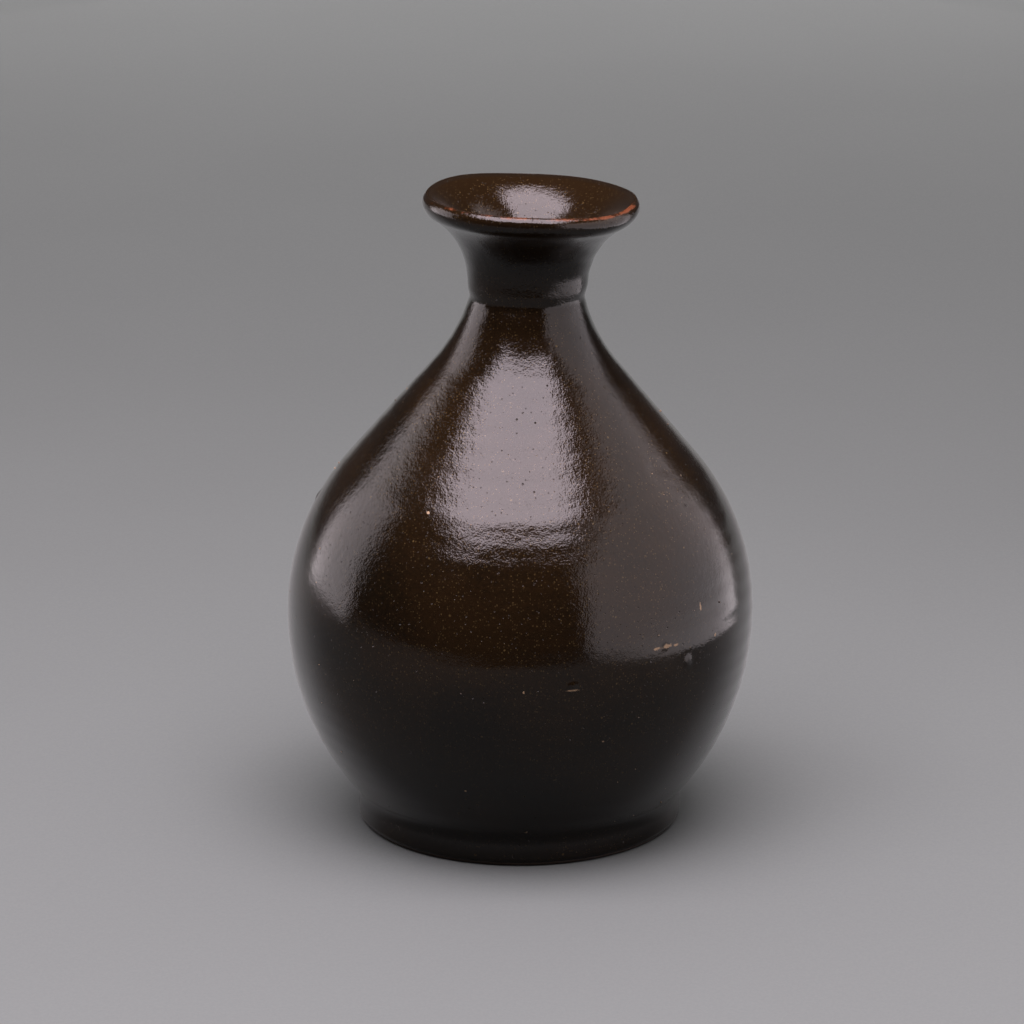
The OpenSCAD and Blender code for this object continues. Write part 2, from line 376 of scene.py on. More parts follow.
class Form:
    """The turned form, worked out from its sizes as the design does."""

    def __init__(self, s):
        self.s = s
        self.skin = s.glaze + s.wall
        self.throat = s.throat_radius + s.glaze
        self.neck = self.throat + s.neck_wall + s.glaze
        self.collar = (self.neck + s.ledge_width, s.seam_height - s.ledge_height)
        self.land = s.lip_radius - s.lip_taper - s.glaze - s.land_width
        self.flare_height = s.seam_height + s.neck_straight
        self.lip_height = s.height - s.lip_height
        self.seat = s.foot_height - s.glaze
        self.foot_inside = s.foot_radius - s.foot_width
        # Bowl
        self.bowl_r = upright_arc_radius(
            s.belly_radius - s.waist_radius, s.belly_height - s.foot_height)
        self.bowl_c = (s.belly_radius - self.bowl_r, s.belly_height)
        # Shoulder: a round arc, a straight flank and a hollow curve up to the collar
        out, up = self.collar[0] - s.belly_radius, self.collar[1] - s.belly_height
        self.flank = math.degrees(math.atan2(-out, up)) + s.flank_lean
        turn = math.radians(self.flank)
        lean = math.radians(s.collar_lean)
        gap = out * math.cos(turn) + up * math.sin(turn)
        blend_gap = s.blend_radius * (1 - math.cos(turn - lean))
        self.shoulder_r = (gap - blend_gap) / (1 - math.cos(turn))
        self.shoulder_c = (s.belly_radius - self.shoulder_r, s.belly_height)
        self.blend_c = (self.collar[0] + s.blend_radius * math.cos(lean),
                        self.collar[1] + s.blend_radius * math.sin(lean))
        # Flare outside and dish inside
        out, up = s.lip_radius - s.lip_hang - self.neck, self.lip_height - self.flare_height
        self.flare_r = upright_arc_radius(out, up)
        self.flare_c = (self.neck + self.flare_r, self.flare_height)
        self.flare_turn = math.degrees(math.atan2(up, self.flare_r - out))
        turn = math.radians(self.flare_turn)
        self.lip_r = min(s.lip_hang / (1 - math.cos(turn)),
                         (s.lip_height - 0.8 * MM) / math.sin(turn))
        self.lip_c = (s.lip_radius - self.lip_r, self.lip_height + self.lip_r * math.sin(turn))
        self.dish_r = upright_arc_radius(
            self.land - s.throat_radius, s.height - self.flare_height)
        self.dish_c = (s.throat_radius + self.dish_r, self.flare_height)
        # Inside corner over the floor
        corner_up = s.floor_height + s.corner_radius
        reach = self.bowl_r - self.skin - s.corner_radius
        drop = s.belly_height - corner_up
        self.corner_c = (self.bowl_c[0] + math.sqrt(reach ** 2 - drop ** 2), corner_up)
        self.corner_turn = math.degrees(math.asin(-drop / reach))
        # Joints
        self.belly_mid = s.belly_radius - s.glaze - s.wall / 2
        self.neck_mid = (self.neck - s.groove_depth - s.glaze + self.throat) / 2
        self.step_turn = math.degrees(math.asin(s.belly_step / (self.shoulder_r - self.skin)))

    def foot_side(self, depth):
        radius = self.s.foot_radius - depth
        crease = self.s.foot_height - depth
        return [(radius, self.s.bare_height), (radius, crease - self.s.foot_draw)]

    def bowl_side(self, depth, spacing):
        s = self.s
        crease = s.foot_height - depth
        radius = self.bowl_r - depth
        start = math.degrees(math.asin((crease - s.belly_height) / radius))
        return arc(self.bowl_c, radius, start, 0, spacing)

    def shoulder_side(self, depth, spacing):
        s = self.s
        return arc(self.shoulder_c, self.shoulder_r - depth, 0, self.flank, spacing) + arc(
            self.blend_c, s.blend_radius + depth, 180 + self.flank, 180 + s.collar_lean, spacing)

    def seam(self, depth):
        return (self.neck - self.s.groove_depth - depth, self.s.seam_height)

    def neck_side(self, depth, spacing):
        start = (self.neck - depth, self.s.seam_height + self.s.groove_height)
        return [start] + arc(
            self.flare_c, self.flare_r + depth, 180, 180 - self.flare_turn, spacing)

    def lip_side(self, depth):
        s = self.s
        under = arc(self.lip_c, self.lip_r - depth, -self.flare_turn, 0, 0.6 * MM)[1:]
        return under + [(s.lip_radius - s.lip_taper - depth, s.height)]

    def outside(self, depth, spacing):
        """The whole outside, from the bare band up to the rim."""
        return (self.foot_side(depth) + self.bowl_side(depth, spacing)
                + self.shoulder_side(depth, spacing)[1:] + [self.seam(depth)]
                + self.neck_side(depth, spacing) + self.lip_side(depth))

    def glazed_outside(self, spacing):
        """The outside of the glaze, which runs softly through creases and over edges."""
        s = self.s
        points = spaced(self.outside(0, spacing), 0.5 * MM)
        corners = (
            (self.bowl_side(0, spacing)[0], 4.2 * MM),
            ((s.foot_radius, s.foot_height - s.foot_draw), 2.0 * MM),
            (self.seam(0), 1.2 * MM),
            ((self.neck, s.seam_height + s.groove_height), 1.8 * MM),
            ((s.lip_radius, self.lip_c[1]), 1.2 * MM),
        )
        for corner, reach in corners:
            points = soften(points, corner, reach)
        return points

    def bowl_inside(self, rise, spacing):
        s = self.s
        return (arc(self.corner_c, s.corner_radius - rise, -90, self.corner_turn, spacing)
                + arc(self.bowl_c, self.bowl_r - self.skin - rise, self.corner_turn, 0, spacing)[1:]
                + arc(self.shoulder_c, self.shoulder_r - self.skin - rise, 0, self.step_turn,
                      spacing)[1:])

    def shoulder_inside(self, rise, spacing):
        radius = self.s.blend_radius + self.skin + rise
        end = math.degrees(math.acos((self.blend_c[0] - self.throat + rise) / radius))
        return arc(self.shoulder_c, self.shoulder_r - self.skin - rise, self.step_turn, self.flank,
                   spacing) + arc(self.blend_c, radius, 180 + self.flank, 180 + end, spacing)

    def mouth_inside(self, rise, spacing):
        radius = self.dish_r - self.s.glaze + rise
        end = math.degrees(math.acos((self.dish_c[0] - self.land) / radius))
        return arc(self.dish_c, radius, 180, 180 - end, spacing)

    def inside(self, rise, spacing):
        """The whole inside, from the middle of the floor up to the rim."""
        floor = [(0.0, self.s.floor_height + rise)]
        return (floor + self.bowl_inside(rise, spacing) + self.shoulder_inside(rise, spacing)[1:]
                + self.mouth_inside(rise, spacing))

    def foot_ring(self, spacing):
        s = self.s
        clay = s.foot_radius - s.glaze
        return ([(self.foot_inside + s.foot_bevel, 0.0), (clay - s.foot_bevel, 0.0),
                 (clay, s.foot_bevel)]
                + self.foot_side(s.glaze)
                + [self.bowl_side(s.glaze, spacing)[0], (self.foot_inside, self.seat),
                   (self.foot_inside, s.foot_bevel)])

    def bowl(self, spacing):
        s = self.s
        return ([(0.0, s.boss_height), (self.foot_inside, s.boss_height),
                 (self.foot_inside, self.seat)]
                + self.bowl_side(s.glaze, spacing)
                + [(self.belly_mid, s.belly_height),
                   (self.belly_mid, s.belly_height + s.belly_step)]
                + self.bowl_inside(0, spacing)[::-1] + [(0.0, s.floor_height)])

    def shoulder(self, spacing):
        s = self.s
        top = s.seam_height + s.neck_step
        return (self.shoulder_side(s.glaze, spacing)
                + [self.seam(s.glaze), (self.neck_mid, s.seam_height), (self.neck_mid, top),
                   (self.throat, top)]
                + self.shoulder_inside(0, spacing)[::-1]
                + [(self.belly_mid, s.belly_height + s.belly_step),
                   (self.belly_mid, s.belly_height)])

    def neck_piece(self, spacing):
        s = self.s
        top = s.seam_height + s.neck_step
        return ([self.seam(s.glaze)] + self.neck_side(s.glaze, spacing) + self.lip_side(s.glaze)
                + [(self.land, s.height)] + self.mouth_inside(0, spacing)[::-1]
                + [(self.throat, top), (self.neck_mid, top), (self.neck_mid, s.seam_height)])


# Turned pieces: one node tree spins an outline and adds the marks of the hand

def add_potter_hand(n, inputs, position):
    """Nodes that move a turned point as the wheel, the hand and the kiln did."""
    x, y, z = n.split(position)
    flat = n.join(x, y)
    outward = n.vector("NORMALIZE", flat)
    radius = n.measure("LENGTH", flat)
    around = n.math("ARCTAN2", y, x)
    share = n.math("DIVIDE", z, inputs["Height"])
    # Soft lumps, read on a cylinder so that both faces of a wall move as one
    place = n.vector("ADD", n.scaled(outward, 0.06), n.join(z=z))
    broad = n.math("SUBTRACT", n.noise(place, 0.075, 3.1, detail=1.0), 0.5)
    close = n.math("SUBTRACT", n.noise(place, 0.022, 7.7, detail=1.0), 0.5)
    lumps = n.math("MULTIPLY", n.math("MULTIPLY_ADD", close, 0.28, broad), inputs["Lump depth"])
    # Finger rings climb as a screw and fade in and out
    climb = n.math("MULTIPLY_ADD", around, 1 / math.tau, n.math("DIVIDE", z, inputs["Ring pitch"]))
    wander = n.math("MULTIPLY_ADD", n.noise(place, 0.05, 1.9), 1.6, climb)
    wave = n.math("SINE", n.math("MULTIPLY", wander, math.tau))
    strength = n.ramp(n.noise(place, 0.06, 5.3), 0.35, 0.65)
    rings = n.product(wave, strength, inputs["Ring depth"])
    # Out of round, more towards the top
    twice = n.math("COSINE", n.math("MULTIPLY_ADD", around, 2.0, 0.8))
    oval = n.product(twice, inputs["Oval"], share)
    # A roll of slip under the neck seam, fullest in front
    front = n.ramp(n.math("MULTIPLY", n.split(outward)[1], -1.0), 0.55, 0.97, 0.15, 1.0)
    below = n.math("SUBTRACT", z, n.math("SUBTRACT", inputs["Seam height"], 4.6 * MM))
    roll = n.product(n.bell(below, ROLL_NARROWNESS), front, inputs["Collar roll"])
    # A shallow hollow left by a finger over the belly
    beside = n.math("SUBTRACT", z, n.math("MULTIPLY", inputs["Height"], 0.562))
    beside = n.math("MULTIPLY_ADD", n.noise(place, 0.030, 4.7), 14 * MM, beside)
    finger = n.product(n.bell(beside, DIP_NARROWNESS), front, -0.20 * MM)
    marks = n.total([lumps, rings, oval, roll, finger])
    whole = n.math("MULTIPLY", marks, n.ramp(radius, 0.004, 0.02))
    steady = n.ramp(z, 0.0, 0.012, 0.25, 1.0)
    outwards = n.scaled(outward, n.math("MULTIPLY", whole, steady))
    # Lean of the neck, slope and waves of the rim
    lean = n.math("MULTIPLY", n.math("POWER", share, LEAN_POWER), inputs["Lean"])
    rim_share = n.ramp(z, inputs["Seam height"], inputs["Height"])
    slope = n.product(x, n.math("TANGENT", inputs["Rim drop"]), -1.0)
    waves = n.math("ADD",
                   n.math("SINE", n.math("MULTIPLY_ADD", around, 3.0, 0.6)),
                   n.math("MULTIPLY", n.math("SINE", n.math("MULTIPLY_ADD", around, 5.0, 2.1)),
                          0.5))
    rise = n.math("MULTIPLY", n.math("MULTIPLY_ADD", waves, inputs["Rim wave"], slope), rim_share)
    # The edges of the rim are rounded off
    off = n.math("DIVIDE", n.math("SUBTRACT", radius, inputs["Rim middle"]), 0.7 * MM)
    near_top = n.ramp(z, n.math("SUBTRACT", inputs["Height"], 1.6 * MM), inputs["Height"])
    crown = n.math("MULTIPLY", n.math("MINIMUM", n.math("MULTIPLY", off, off), 2.2), near_top)
    rise = n.math("SUBTRACT", rise, n.math("MULTIPLY", crown, inputs["Rim crown"]))
    return n.vector("ADD", outwards, n.join(lean, 0.0, rise))


def on_surface(angle, height, form):
    """The point of the outside at this angle round from the front, and this height."""
    outline = form.outside(0, 1 * MM)
    radius = min(outline, key=lambda p: abs(p[1] - height))[0]
    turn = math.radians(angle)
    return Vector((radius * math.sin(turn), -radius * math.cos(turn), height))


def ragged_mark(n, position, centre, angle, half_width, half_height, seed):
    """Distance from a mark's centre, where about 1 is its ragged edge on the wall."""
    away = n.vector("SUBTRACT", position, centre)
    turned = n.add("ShaderNodeVectorRotate", {"Vector": away, "Angle": -math.radians(angle)},
                   rotation_type="Z_AXIS").outputs[0]
    scaled = n.vector("DIVIDE", turned, (half_width, half_width, half_height))
    ragged = n.noise(position, 2 * min(half_width, half_height), seed, detail=3.0, roughness=0.65)
    return n.math("ADD", n.measure("LENGTH", scaled), n.math("MULTIPLY_ADD", ragged, 2.2, -1.1))


def add_pits(n, position, form):
    """Nodes that press the hollows into the glaze, each with a low raised lip."""
    normal = n.add("GeometryNodeInputNormal").outputs[0]
    depths = []
    for i, (angle, height, half_width, half_height, depth) in enumerate(PITS):
        away = ragged_mark(n, position, on_surface(angle, height, form), angle, half_width,
                           half_height, PIT_SEED + i)
        hollow = n.ramp(away, 0.2, 1.0, -depth, 0.0)
        lip = n.math("MULTIPLY", n.ramp(away, 0.7, 1.1), n.ramp(away, 1.2, 1.9, 0.3 * depth, 0.0))
        depths.append(n.math("ADD", hollow, lip))
    return n.scaled(normal, n.total(depths))


# The inputs that are named after the potter's hand's own sizes
HAND_INPUTS = ("Lean", "Rim drop", "Rim wave", "Oval", "Lump depth", "Ring depth", "Ring pitch",
               "Rim crown", "Collar roll")
TURNED_INPUTS = (
    ("Segments", "NodeSocketInt"),
    ("Points", "NodeSocketInt"),
    *((label, "NodeSocketFloat")
      for label in ("Height", "Seam height", "Rim middle", *HAND_INPUTS)),
    ("Finish", "NodeSocketMaterial"),
)


def new_geometry_tree(name, sockets):
    tree = bpy.data.node_groups.new(name, "GeometryNodeTree")
    tree.interface.new_socket("Geometry", in_out="INPUT", socket_type="NodeSocketGeometry")
    for label, kind in sockets:
        tree.interface.new_socket(label, in_out="INPUT", socket_type=kind)
    tree.interface.new_socket("Geometry", in_out="OUTPUT", socket_type="NodeSocketGeometry")
    n = Nodes(tree)
    return tree, n, n.add("NodeGroupInput").outputs


def turned_tree(form, with_pits):
    """Spins the outline's points round Z, then moves them by the potter's hand."""
    tree, n, inputs = new_geometry_tree("Turned piece", TURNED_INPUTS)
    round_count = n.math("ADD", inputs["Segments"], 1.0)
    grid = n.add("GeometryNodeMeshGrid",
                 {"Vertices X": inputs["Points"], "Vertices Y": round_count}).outputs["Mesh"]
    index = n.add("GeometryNodeInputIndex").outputs[0]
    row = n.math("FLOOR", n.math("DIVIDE", index, round_count))
    column = n.math("SUBTRACT", index, n.math("MULTIPLY", row, round_count))
    turn = n.math("MULTIPLY", n.math("DIVIDE", column, inputs["Segments"]), math.tau)
    spot = n.add("GeometryNodeInputPosition").outputs[0]
    sample = n.add("GeometryNodeSampleIndex",
                   {"Geometry": inputs["Geometry"], "Value": spot, "Index": row},
                   data_type="FLOAT_VECTOR", domain="POINT")
    outline = n.split(sample.outputs[0])
    spun = n.join(n.math("MULTIPLY", outline[0], n.math("SINE", turn)),
                  n.product(outline[0], n.math("COSINE", turn), -1.0), outline[2])
    turned = n.add("GeometryNodeSetPosition", {"Geometry": grid, "Position": spun}).outputs[0]
    closed = n.add("GeometryNodeMergeByDistance", {"Geometry": turned, "Distance": WELD}).outputs[0]
    kept = n.add("GeometryNodeStoreNamedAttribute",
                 {"Geometry": closed, "Name": "thrown_height", "Value": n.split(spot)[2]},
                 data_type="FLOAT", domain="POINT").outputs[0]
    if with_pits:
        kept = n.add("GeometryNodeSetPosition",
                     {"Geometry": kept, "Offset": add_pits(n, spot, form)}).outputs[0]
    moved = n.add("GeometryNodeSetPosition",
                  {"Geometry": kept, "Offset": add_potter_hand(n, inputs, spot)}).outputs[0]
    smooth = n.add("GeometryNodeSetShadeSmooth", {"Geometry": moved}).outputs[0]
    real = n.add("GeometryNodeRealizeInstances", {"Geometry": smooth}).outputs[0]
    dressed = n.add("GeometryNodeSetMaterial", {"Geometry": real, "Material": inputs["Finish"]})
    n.add("NodeGroupOutput", {"Geometry": dressed.outputs[0]})
    return tree


def set_inputs(modifier, tree, values):
    """Sets a modifier's inputs by the names of its tree's sockets."""
    for item in tree.interface.items_tree:
        if item.item_type == "SOCKET" and item.in_out == "INPUT" and item.name in values:
            modifier[item.identifier] = values[item.name]


def frozen(work, name):
    """Makes the evaluated result of a working object a plain mesh, and removes the working one."""
    graph = bpy.context.evaluated_depsgraph_get()
    mesh = bpy.data.meshes.new_from_object(work.evaluated_get(graph), depsgraph=graph)
    for modifier in list(work.modifiers):
        work.modifiers.remove(modifier)
    bpy.data.objects.remove(work)
    mesh.name = name
    piece = bpy.data.objects.new(name, mesh)
    bpy.context.scene.collection.objects.link(piece)
    return piece


def turn_normals_out(mesh):
    shape = bmesh.new()
    shape.from_mesh(mesh)
    bmesh.ops.remove_doubles(shape, verts=shape.verts, dist=WELD)
    bmesh.ops.recalc_face_normals(shape, faces=shape.faces)
    if shape.calc_volume(signed=True) < 0:
        bmesh.ops.reverse_faces(shape, faces=shape.faces)
    shape.to_mesh(mesh)
    shape.free()


def turned_piece(context, name, outline, segments, material, with_pits=False):
    """A closed piece of pottery, spun from a closed outline."""
    sizes, hand = context.scene.bottle_sizes, context.scene.potter_hand
    points = [(r, 0.0, z) for r, z in outline + outline[:1]]
    mesh = bpy.data.meshes.new(name + "_outline")
    mesh.from_pydata(points, [(i, i + 1) for i in range(len(points) - 1)], [])
    work = bpy.data.objects.new(name + "_outline", mesh)
    context.scene.collection.objects.link(work)
    form = Form(sizes)
    tree = turned_tree(form, with_pits)
    modifier = work.modifiers.new("Turned piece", "NODES")
    modifier.node_group = tree
    set_inputs(modifier, tree, {
        "Segments": segments, "Points": len(points), "Height": sizes.height,
        "Seam height": sizes.seam_height, "Rim middle": form.land + sizes.land_width / 2,
        "Finish": material,
        **{label: getattr(hand, label.lower().replace(" ", "_")) for label in HAND_INPUTS}})
    piece = frozen(work, name)
    turn_normals_out(piece.data)
    return piece


def place(piece, node, slot):
    """Hangs a piece from the body and hides the CAD node that it stands for."""
    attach(piece, BODY)
    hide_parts(node)


# Materials

def new_material(name):
    material = bpy.data.materials.new(name)
    material.use_nodes = True
    material.node_tree.nodes.clear()
    n = Nodes(material.node_tree)
    shader = n.add("ShaderNodeBsdfPrincipled")
    output = n.add("ShaderNodeOutputMaterial")
    n.feed(output.inputs["Surface"], shader.outputs[0])
    coordinates = n.add("ShaderNodeTexCoord").outputs["Object"]
    return material, n, shader, coordinates


def add_bump(n, height, distance, normal=None):
    """A bump of a height field that runs from 0 to 1, distance metres deep."""
    node = n.add("ShaderNodeBump", {"Strength": 1.0, "Distance": distance, "Height": height})
    if normal is not None:
        n.feed(node.inputs["Normal"], normal)
    return node.outputs[0]


def iron_glaze(name, look, form, brownness, pits=(), chips_and_glints=()):
    """Glossy iron glaze: near black, with fine brown crystals, orange peel and pinholes."""
    material, n, shader, place_at = new_material(name)
    height = n.add("ShaderNodeAttribute", attribute_name="thrown_height").outputs["Fac"]
    # Colour: deep pools, browner drifts, and crystals that crowd in the drifts
    drift = n.noise(place_at, 45 * MM, 2.3, detail=2.0)
    mottle = n.noise(place_at, 1.3 * MM, 4.1, detail=3.0, roughness=0.65)
    upper = n.ramp(height, 0.060, 0.100, 0.10, 0.22)
    thin = n.ramp(n.total([n.math("MULTIPLY", mottle, 0.55), drift, upper]),
                  0.68 - brownness, 1.16 - brownness)
    base = n.mix(thin, rgba(look.deep), rgba(look.brown))
    for spacing, reach, seed, most, least in ((0.75 * MM, 0.50, 8.2, 0.40, 0.14),
                                              (2.6 * MM, 0.22, 3.9, 0.60, 0.30)):
        grains, shade = n.cells(place_at, spacing, seed)
        dots = n.math("MULTIPLY", n.ramp(grains, 0.4 * reach, reach, 1.0, 0.0),
                      n.ramp(n.split(shade)[0], 0.35, 1.0))
        specks = n.math("MULTIPLY", dots, n.math("MULTIPLY_ADD", thin, most - least, least))
        base = n.mix(specks, base, rgba(look.speck))
    # The coat breaks to rust over the lip's edge and thins at the foot
    ragged = n.math("MULTIPLY_ADD", n.noise(place_at, 2.6 * MM, 6.6, detail=3.0), 1.1 * MM, height)
    top = form.s.height
    broken = rim_breaks(n, place_at)
    edge = n.math("MULTIPLY", n.ramp(ragged, top - 0.15 * MM, top + 0.45 * MM), broken)
    warm = n.ramp(ragged, top - 2.5 * MM, top + 0.6 * MM, 0.0, 0.5)
    base = n.mix(warm, base, rgba(look.brown))
    base = n.mix(edge, base, rgba(look.rust))
    foot = n.ramp(ragged, form.s.bare_height + 0.5 * MM, form.s.bare_height + 1.5 * MM, 0.6, 0.0)
    base = n.mix(foot, base, rgba(look.clay_dark))
    # Hollows are dull and dark inside, chips go down to the clay, and two of the pale marks are
    # painted highlights
    bare = edge
    for marks, seed, full, none, strength, tone in (
            (pits, PIT_SEED, 0.3, 1.0, 0.8, look.deep),
            (chips_and_glints, CHIP_AND_GLINT_SEED, 0.5, 1.1, 1.0, look.grit)):
        for i, (angle, up, half_width, half_height, *_) in enumerate(marks):
            spot = on_surface(angle, up, form) + Vector((shift_at(form.s, up), 0, 0))
            away = ragged_mark(n, place_at, spot, angle, half_width, half_height, seed + i)
            mark = n.ramp(away, full, none, strength, 0.0)
            base = n.mix(mark, base, rgba(tone))
            bare = n.math("MAXIMUM", bare, mark)
    n.feed(shader.inputs["Base Color"], base)
    # Gloss, a little drier low on the belly
    cloud = n.noise(place_at, 18 * MM, 5.5, detail=2.0)
    gloss = n.ramp(cloud, 0.3, 0.7, 0.09, 0.15)
    low = n.ramp(height, 0.02, 0.09, 0.05, 0.0)
    rough = n.math("MAXIMUM", n.math("ADD", gloss, low), n.math("MULTIPLY", bare, 0.5))
    n.feed(shader.inputs["Roughness"], rough)
    for socket, value in (
            ("IOR", 1.38), ("Coat Roughness", 0.16), ("Coat IOR", 1.5), ("Sheen Weight", 0.06),
            ("Sheen Roughness", 0.25), ("Sheen Tint", (0.95, 0.86, 0.82, 1.0))):
        shader.inputs[socket].default_value = value
    # A thin clear skin shows towards the edges of the form
    facing = n.add("ShaderNodeLayerWeight", {"Blend": 0.5}).outputs["Facing"]
    n.feed(shader.inputs["Coat Weight"], n.ramp(facing, 0.44, 0.72, 0.0, 0.85))
    # Relief: broad orange peel, fine grain that breaks up highlights, and pinholes
    calm = n.ramp(height, 0.078, 0.115, 0.3, 1.0)
    peel = n.math("MULTIPLY", n.noise(place_at, 1.9 * MM, 1.2, detail=1.0), calm)
    normal = add_bump(n, peel, 0.11 * MM)
    fine = n.math("MULTIPLY", n.noise(place_at, 0.55 * MM, 7.1, detail=1.0), calm)
    normal = add_bump(n, fine, 0.075 * MM, normal)
    for spacing, reach, seed, depth in ((2.6 * MM, 0.17, 12.5, 0.35 * MM),
                                        (1.15 * MM, 0.26, 15.1, 0.10 * MM)):
        holes, hole_shade = n.cells(place_at, spacing, seed)
        chosen = n.ramp(n.split(hole_shade)[1], 0.45, 0.6)
        pinholes = n.math("MULTIPLY", n.ramp(holes, 0.4 * reach, reach, 1.0, 0.0), chosen)
        normal = add_bump(n, n.math("SUBTRACT", 1.0, pinholes), depth, normal)
    n.feed(shader.inputs["Normal"], normal)
    return material


def rim_breaks(n, place_at):
    """Where the glaze has drawn off the rim: stretches in front, and hardly any behind."""
    side = n.split(place_at)
    front = n.ramp(side[1], -0.030, 0.018, 0.20, -0.10, smooth=False)
    right = n.ramp(side[0], 0.020, 0.040, 0.0, 0.12)
    patches = n.noise(place_at, 6 * MM, 2.6, detail=4.0, roughness=0.7)
    return n.ramp(n.total([patches, front, right]), 0.62, 0.80)


def shift_at(sizes, height):
    """How far the lean carries the axis sideways at a height."""
    return bpy.context.scene.potter_hand.lean * (height / sizes.height) ** LEAN_POWER


def bare_clay(look):
    """Fired stoneware: rust brown, sandy, with darker flashing and iron spots."""
    material, n, shader, place_at = new_material("bare_stoneware")
    flash = n.ramp(n.noise(place_at, 30 * MM, 1.4, detail=4.0, roughness=0.6), 0.35, 0.7)
    base = n.mix(flash, rgba(look.clay), rgba(look.clay_dark))
    sand = n.noise(place_at, 0.8 * MM, 3.3, detail=4.0, roughness=0.7)
    base = n.mix(n.ramp(sand, 0.52, 0.72, 0.0, 0.5), base, rgba(look.grit))
    spots, shade = n.cells(place_at, 4 * MM, 6.1)
    chosen = n.math("GREATER_THAN", n.split(shade)[0], 0.6)
    iron = n.math("MULTIPLY", n.ramp(spots, 0.05, 0.15, 0.85, 0.0), chosen)
    base = n.mix(iron, base, rgba(look.deep))
    # The standing edge is painted darker, as shade where it meets the floor, and the rim is skinned
    # over except where the glaze drew off
    height = n.add("ShaderNodeAttribute", attribute_name="thrown_height").outputs["Fac"]
    base = n.mix(n.ramp(height, 0.002, 0.0045, 0.75, 0.0), base, rgba(look.clay_dark))
    rim = n.ramp(height, *RIM_SKIN)
    skin = n.mix(rim_breaks(n, place_at), rgba(look.brown), rgba(look.rust))
    base = n.mix(rim, base, skin)
    n.feed(shader.inputs["Base Color"], base)
    dry = n.ramp(sand, 0.3, 0.7, 0.62, 0.85)
    n.feed(shader.inputs["Roughness"], n.math("MULTIPLY", dry, n.ramp(rim, 0.0, 1.0, 1.0, 0.35)))
    turning = n.split(place_at)
    distance = n.math("SQRT", n.math("ADD", n.math("MULTIPLY", turning[0], turning[0]),
                                     n.math("MULTIPLY", turning[1], turning[1])))
    tool_marks = n.math("SINE", n.math("MULTIPLY", n.math("ADD", distance, turning[2]), TOOL_MARKS))
    relief = n.math("MULTIPLY_ADD", tool_marks, 0.12, sand)
    n.feed(shader.inputs["Normal"], add_bump(n, relief, 0.12 * MM))
    return material


def grit_finish(look):
    """Half-melted grains of kiln grit."""
    material, n, shader, place_at = new_material("kiln_grit")
    tone = n.noise(place_at, 1.5 * MM, 4.4, detail=2.0)
    n.feed(shader.inputs["Base Color"], n.mix(n.ramp(tone, 0.35, 0.65), rgba(look.brown),
                                              rgba(look.grit)))
    n.feed(shader.inputs["Roughness"], n.ramp(tone, 0.3, 0.7, 0.25, 0.5))
    n.feed(shader.inputs["Normal"], add_bump(n, n.noise(place_at, 0.2 * MM, 2.0), 0.02 * MM))
    return material


def paper(look):
    """Matt seamless paper with a faint tooth."""
    material, n, shader, place_at = new_material("studio_paper")
    tooth = n.noise(place_at, 0.9 * MM, 2.2, detail=3.0)
    tone = n.ramp(n.noise(place_at, 0.25, 1.1, detail=2.0), 0.3, 0.7, 0.0, 1.0)
    light = tuple(min(1.0, c * 1.03) for c in look.floor)
    n.feed(shader.inputs["Base Color"], n.mix(tone, rgba(look.floor), rgba(light)))
    n.feed(shader.inputs["Roughness"], n.ramp(tooth, 0.3, 0.7, 0.85, 0.95))
    n.feed(shader.inputs["Normal"], add_bump(n, tooth, 0.02 * MM))
    return material


# Kiln grit

